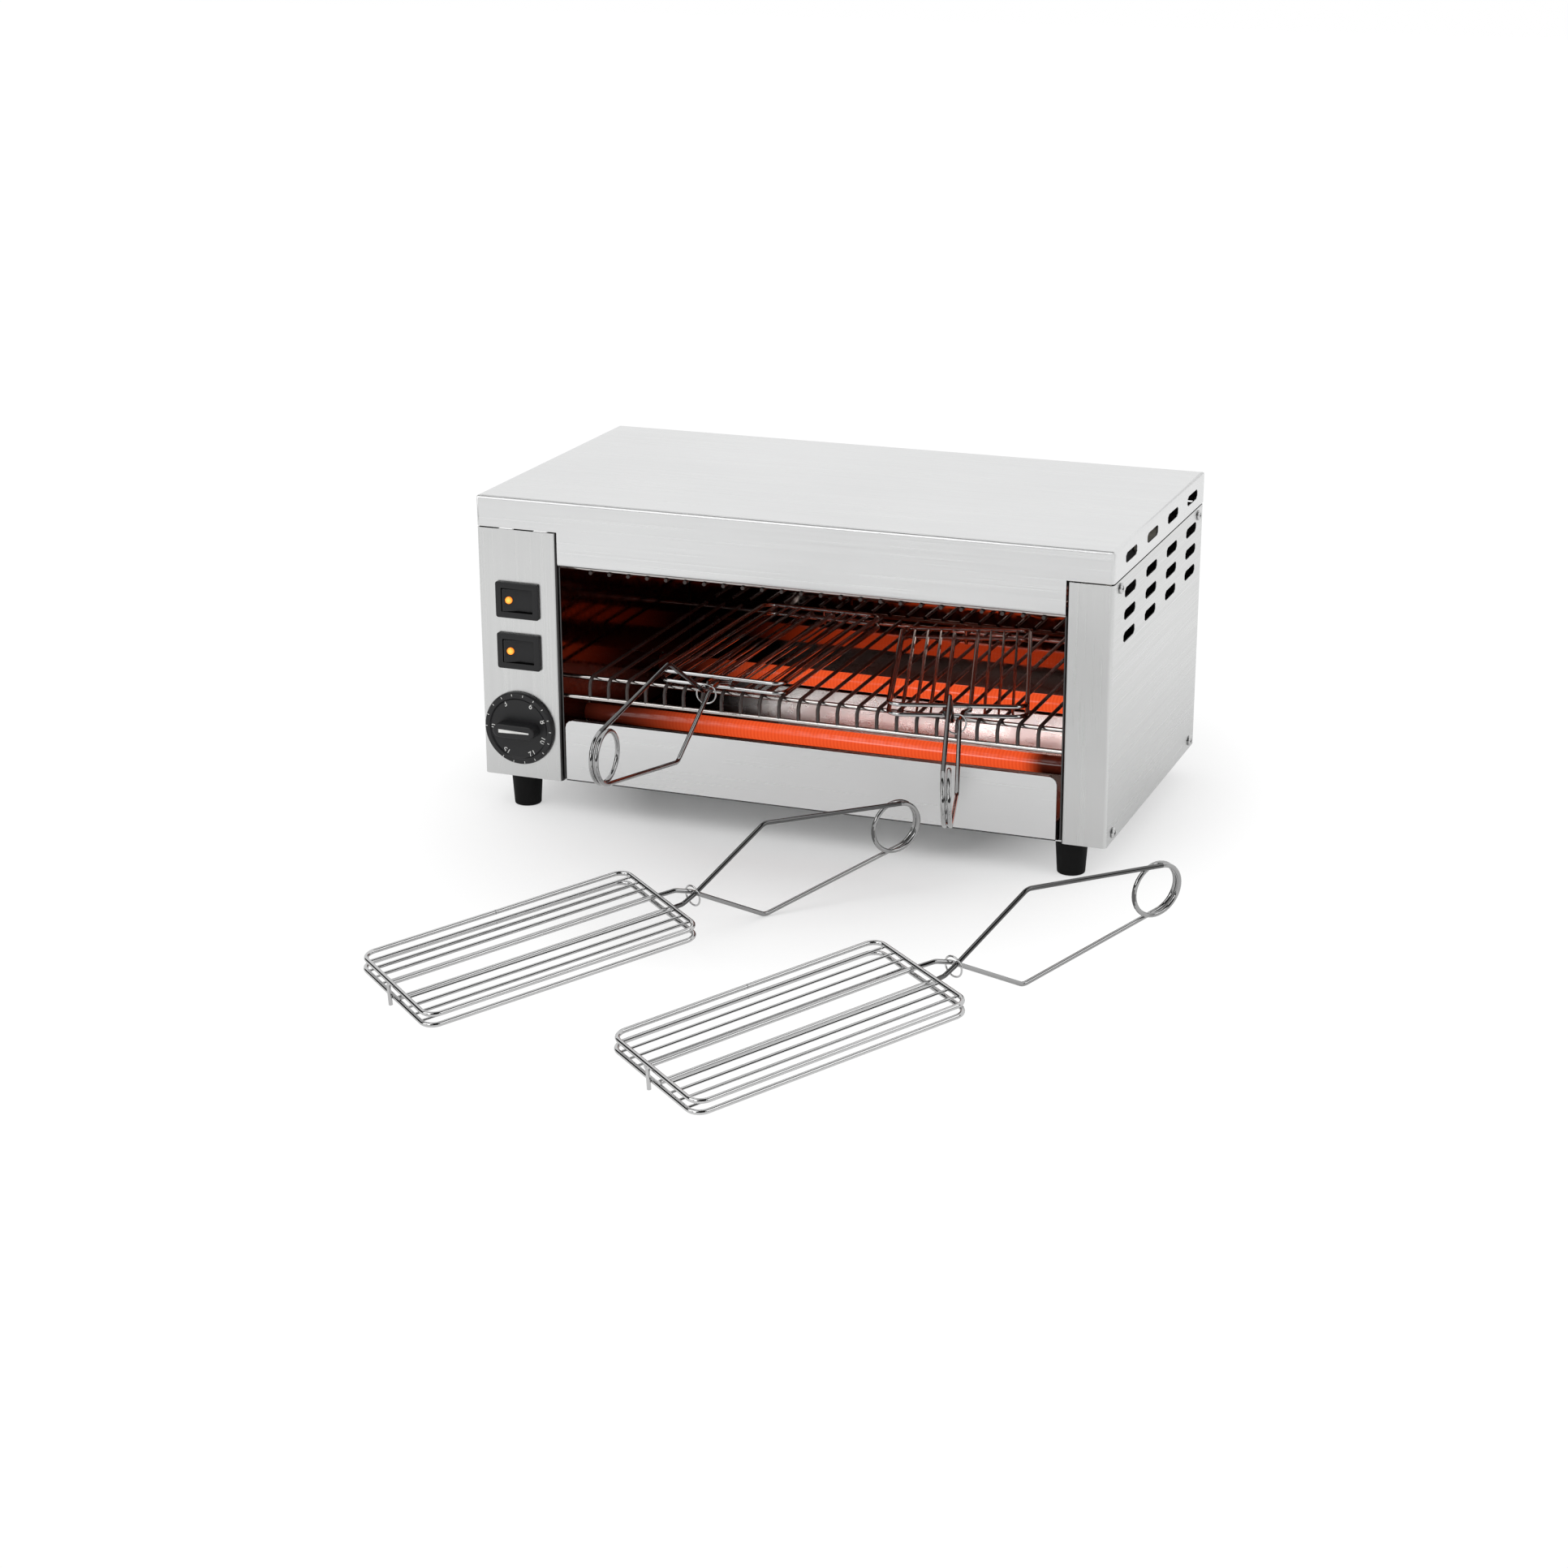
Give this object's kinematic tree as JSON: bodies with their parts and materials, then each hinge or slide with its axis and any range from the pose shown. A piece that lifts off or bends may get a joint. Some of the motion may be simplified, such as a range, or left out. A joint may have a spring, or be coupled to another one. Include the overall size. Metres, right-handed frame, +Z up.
{
  "type": "clamp toaster",
  "caption": "Counter-top quartz toaster in stainless steel, open at the front, with wire tongs that hold the bread, a guard rack, a crumb tray, rocker switches and a timer knob.",
  "frame": {"origin": "centre of the front left foot's sole, on the worktop", "axes": "+X to the right seen from the front, +Y to the back, +Z up"},
  "size_m": [0.5009, 0.645, 0.212],
  "materials": {
    "steel_sheet": "satin stainless sheet",
    "polished_sheet": "bright polished stainless sheet",
    "screw_steel": "satin",
    "tong_wire": "bright chromed wire",
    "guard_wire": "bright wire",
    "quartz": "clear quartz, glowing orange red",
    "ceramic": "matt cream",
    "foot_rubber": "matt black",
    "lamp_amber": "translucent amber",
    "terminal_nylon": "natural",
    "knob_plastic": "satin black",
    "black_plastic": "satin black"
  },
  "bodies": {
    "oven_body": {"top_cover": "steel_sheet", "left_panel": "steel_sheet", "right_panel": "steel_sheet", "back_panel": "steel_sheet", "base_pan": "steel_sheet", "cavity_left_wall": "polished_sheet", "cavity_right_wall": "polished_sheet", "cavity_back_wall": "polished_sheet", "ceiling_reflector": "polished_sheet", "lower_guard_rack": "guard_wire", "upper_guard_grid": "guard_wire", "foot_front_left": "foot_rubber", "foot_front_right": "foot_rubber", "foot_rear_left": "foot_rubber", "foot_rear_right": "foot_rubber", "quartz_tube_lower_front": "quartz", "ceramic_end_lower_front_left": "ceramic", "ceramic_end_lower_front_right": "ceramic", "quartz_tube_lower_rear": "quartz", "ceramic_end_lower_rear_left": "ceramic", "ceramic_end_lower_rear_right": "ceramic", "quartz_tube_upper_front": "quartz", "ceramic_end_upper_front_left": "ceramic", "ceramic_end_upper_front_right": "ceramic", "quartz_tube_upper_rear": "quartz", "ceramic_end_upper_rear_left": "ceramic", "ceramic_end_upper_rear_right": "ceramic", "switch_housing_1": "black_plastic", "switch_housing_2": "black_plastic", "timer_body": "black_plastic", "cable_gland": "black_plastic", "terminal_block": "terminal_nylon", "side_screw_left_1": "screw_steel", "side_screw_right_1": "screw_steel", "side_screw_left_2": "screw_steel", "side_screw_right_2": "screw_steel", "side_screw_left_3": "screw_steel", "side_screw_right_3": "screw_steel", "side_screw_left_4": "screw_steel", "side_screw_right_4": "screw_steel"},
    "crumb_tray": {"crumb_tray": "steel_sheet"},
    "timer_knob": {"timer_knob": "knob_plastic"},
    "rocker_1": {"switch_rocker_1": "black_plastic", "switch_lamp_1": "lamp_amber"},
    "rocker_2": {"switch_rocker_2": "black_plastic", "switch_lamp_2": "lamp_amber"},
    "tong_1_lower": {"tong_1_lower_half": "tong_wire"},
    "tong_1_upper": {"tong_1_upper_half": "tong_wire"},
    "tong_1_ring": {"tong_1_neck_ring": "tong_wire"},
    "tong_2_lower": {"tong_2_lower_half": "tong_wire"},
    "tong_2_upper": {"tong_2_upper_half": "tong_wire"},
    "tong_2_ring": {"tong_2_neck_ring": "tong_wire"},
    "tong_3_lower": {"tong_3_lower_half": "tong_wire"},
    "tong_3_upper": {"tong_3_upper_half": "tong_wire"},
    "tong_3_ring": {"tong_3_neck_ring": "tong_wire"},
    "tong_4_lower": {"tong_4_lower_half": "tong_wire"},
    "tong_4_upper": {"tong_4_upper_half": "tong_wire"},
    "tong_4_ring": {"tong_4_neck_ring": "tong_wire"}
  },
  "joints": [
    {"name": "crumb_tray_slide", "type": "slide", "parent": "oven_body", "child": "crumb_tray", "axis": [0, -1, 0], "range_m": [0, 0.2]},
    {"name": "timer_turn", "type": "hinge", "parent": "oven_body", "child": "timer_knob", "pos_m": [0.002, -0.0125, 0.0563], "axis": [0, 1, 0], "range_deg": [0, 300]},
    {"name": "switch_1_rock", "type": "hinge", "parent": "oven_body", "child": "rocker_1", "pos_m": [0.0033, -0.011, 0.1436], "axis": [0, 0, 1], "range_deg": [-16, 0]},
    {"name": "switch_2_rock", "type": "hinge", "parent": "oven_body", "child": "rocker_2", "pos_m": [0.0033, -0.011, 0.109], "axis": [0, 0, 1], "range_deg": [-16, 0]},
    {"name": "tong_1_pull", "type": "slide", "parent": "oven_body", "child": "tong_1_lower", "axis": [-0.0337, -0.9653, 0.2588], "range_m": [0, 0.22]},
    {"name": "tong_1_squeeze", "type": "hinge", "parent": "tong_1_lower", "child": "tong_1_upper", "pos_m": [0.13495, -0.16642, 0.0993], "axis": [0.9994, -0.0349, 0], "range_deg": [0, 8], "stiffness_Nm_per_rad": 0.8, "springref_deg": -5.73},
    {"name": "tong_1_ring_slide", "type": "slide", "parent": "tong_1_lower", "child": "tong_1_ring", "axis": [-0.0294, -0.8417, 0.5391], "range_m": [0, 0.0176]},
    {"name": "tong_2_pull", "type": "slide", "parent": "oven_body", "child": "tong_2_lower", "axis": [0.2662, -0.9285, 0.2588], "range_m": [0, 0.22]},
    {"name": "tong_2_squeeze", "type": "hinge", "parent": "tong_2_lower", "child": "tong_2_upper", "pos_m": [0.34884, -0.1649, 0.0993], "axis": [0.9613, 0.2756, 0], "range_deg": [0, 8], "stiffness_Nm_per_rad": 0.8, "springref_deg": -5.73},
    {"name": "tong_2_ring_slide", "type": "slide", "parent": "tong_2_lower", "child": "tong_2_ring", "axis": [0.2322, -0.8096, 0.5391], "range_m": [0, 0.0176]},
    {"name": "tong_3_lift", "type": "slide", "parent": "oven_body", "child": "tong_3_lower", "axis": [0, 0, 1], "range_m": [0, 0.26]},
    {"name": "tong_3_squeeze", "type": "hinge", "parent": "tong_3_lower", "child": "tong_3_upper", "pos_m": [0.28489, -0.07004, 0.04187], "axis": [-0.7977, 0.5975, 0.0819], "range_deg": [0, 8], "stiffness_Nm_per_rad": 0.8, "springref_deg": -5.73},
    {"name": "tong_3_ring_slide", "type": "slide", "parent": "tong_3_lower", "child": "tong_3_ring", "axis": [0.511, 0.5976, 0.6178], "range_m": [0, 0.0176]},
    {"name": "tong_4_lift", "type": "slide", "parent": "oven_body", "child": "tong_4_lower", "axis": [0, 0, 1], "range_m": [0, 0.25]},
    {"name": "tong_4_squeeze", "type": "hinge", "parent": "tong_4_lower", "child": "tong_4_upper", "pos_m": [0.46168, -0.11876, 0.04187], "axis": [-0.808, 0.5835, 0.0819], "range_deg": [0, 8], "stiffness_Nm_per_rad": 0.8, "springref_deg": -5.73},
    {"name": "tong_4_ring_slide", "type": "slide", "parent": "tong_4_lower", "child": "tong_4_ring", "axis": [0.5005, 0.6065, 0.6178], "range_m": [0, 0.0176]}
  ],
  "couplings": [
    {"joint": "tong_3_lift", "follows": "crumb_tray_slide", "ratio": 1.3},
    {"joint": "tong_1_ring_slide", "follows": "tong_1_squeeze", "m_per_rad": 0.125},
    {"joint": "tong_2_ring_slide", "follows": "tong_2_squeeze", "m_per_rad": 0.125},
    {"joint": "tong_3_ring_slide", "follows": "tong_3_squeeze", "m_per_rad": 0.125},
    {"joint": "tong_4_ring_slide", "follows": "tong_4_squeeze", "m_per_rad": 0.125}
  ]
}
